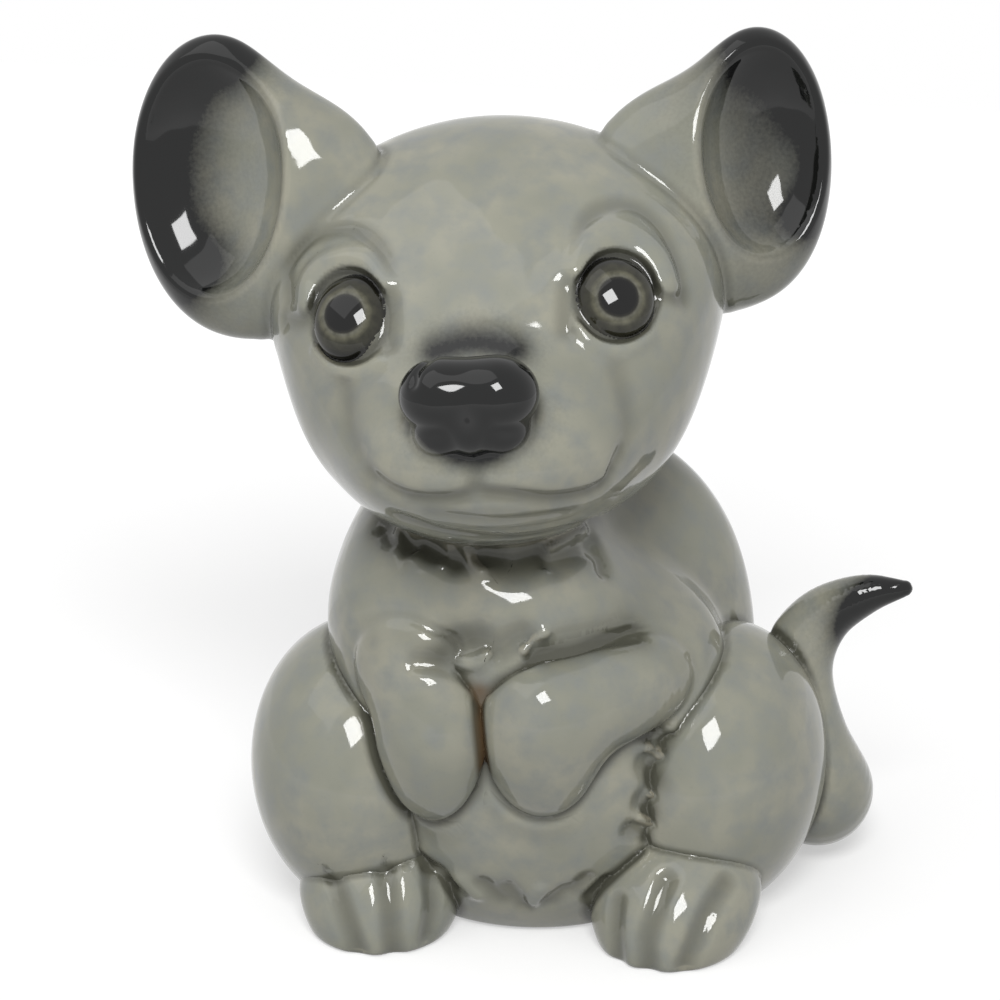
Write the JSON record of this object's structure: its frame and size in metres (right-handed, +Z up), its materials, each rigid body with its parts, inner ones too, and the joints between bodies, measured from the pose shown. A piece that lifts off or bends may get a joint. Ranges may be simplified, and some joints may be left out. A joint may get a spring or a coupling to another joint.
{
  "type": "mouse figurine",
  "caption": "Glazed ceramic figurine of a seated mouse with large cupped ears, forepaws at its chest and its tail curled up along one flank.",
  "frame": {"origin": "on the standing plane, near the middle of the torso's flat foot and between the haunches", "axes": "+Z up, -Y the way the body faces, +X to the mouse's left, where the tail is"},
  "size_m": [0.1003, 0.0798, 0.1169],
  "materials": {
    "grey_glaze": "gloss",
    "black_glaze": "gloss"
  },
  "bodies": {
    "root": {"body_shell": "grey_glaze", "head_shell": "grey_glaze", "left_ear": "grey_glaze", "right_ear": "grey_glaze", "left_eye": "black_glaze", "right_eye": "black_glaze", "nose": "black_glaze", "left_haunch": "grey_glaze", "right_haunch": "grey_glaze", "left_hind_foot": "grey_glaze", "right_hind_foot": "grey_glaze", "left_foreleg": "grey_glaze", "right_foreleg": "grey_glaze", "tail": "grey_glaze"}
  },
  "joints": []
}
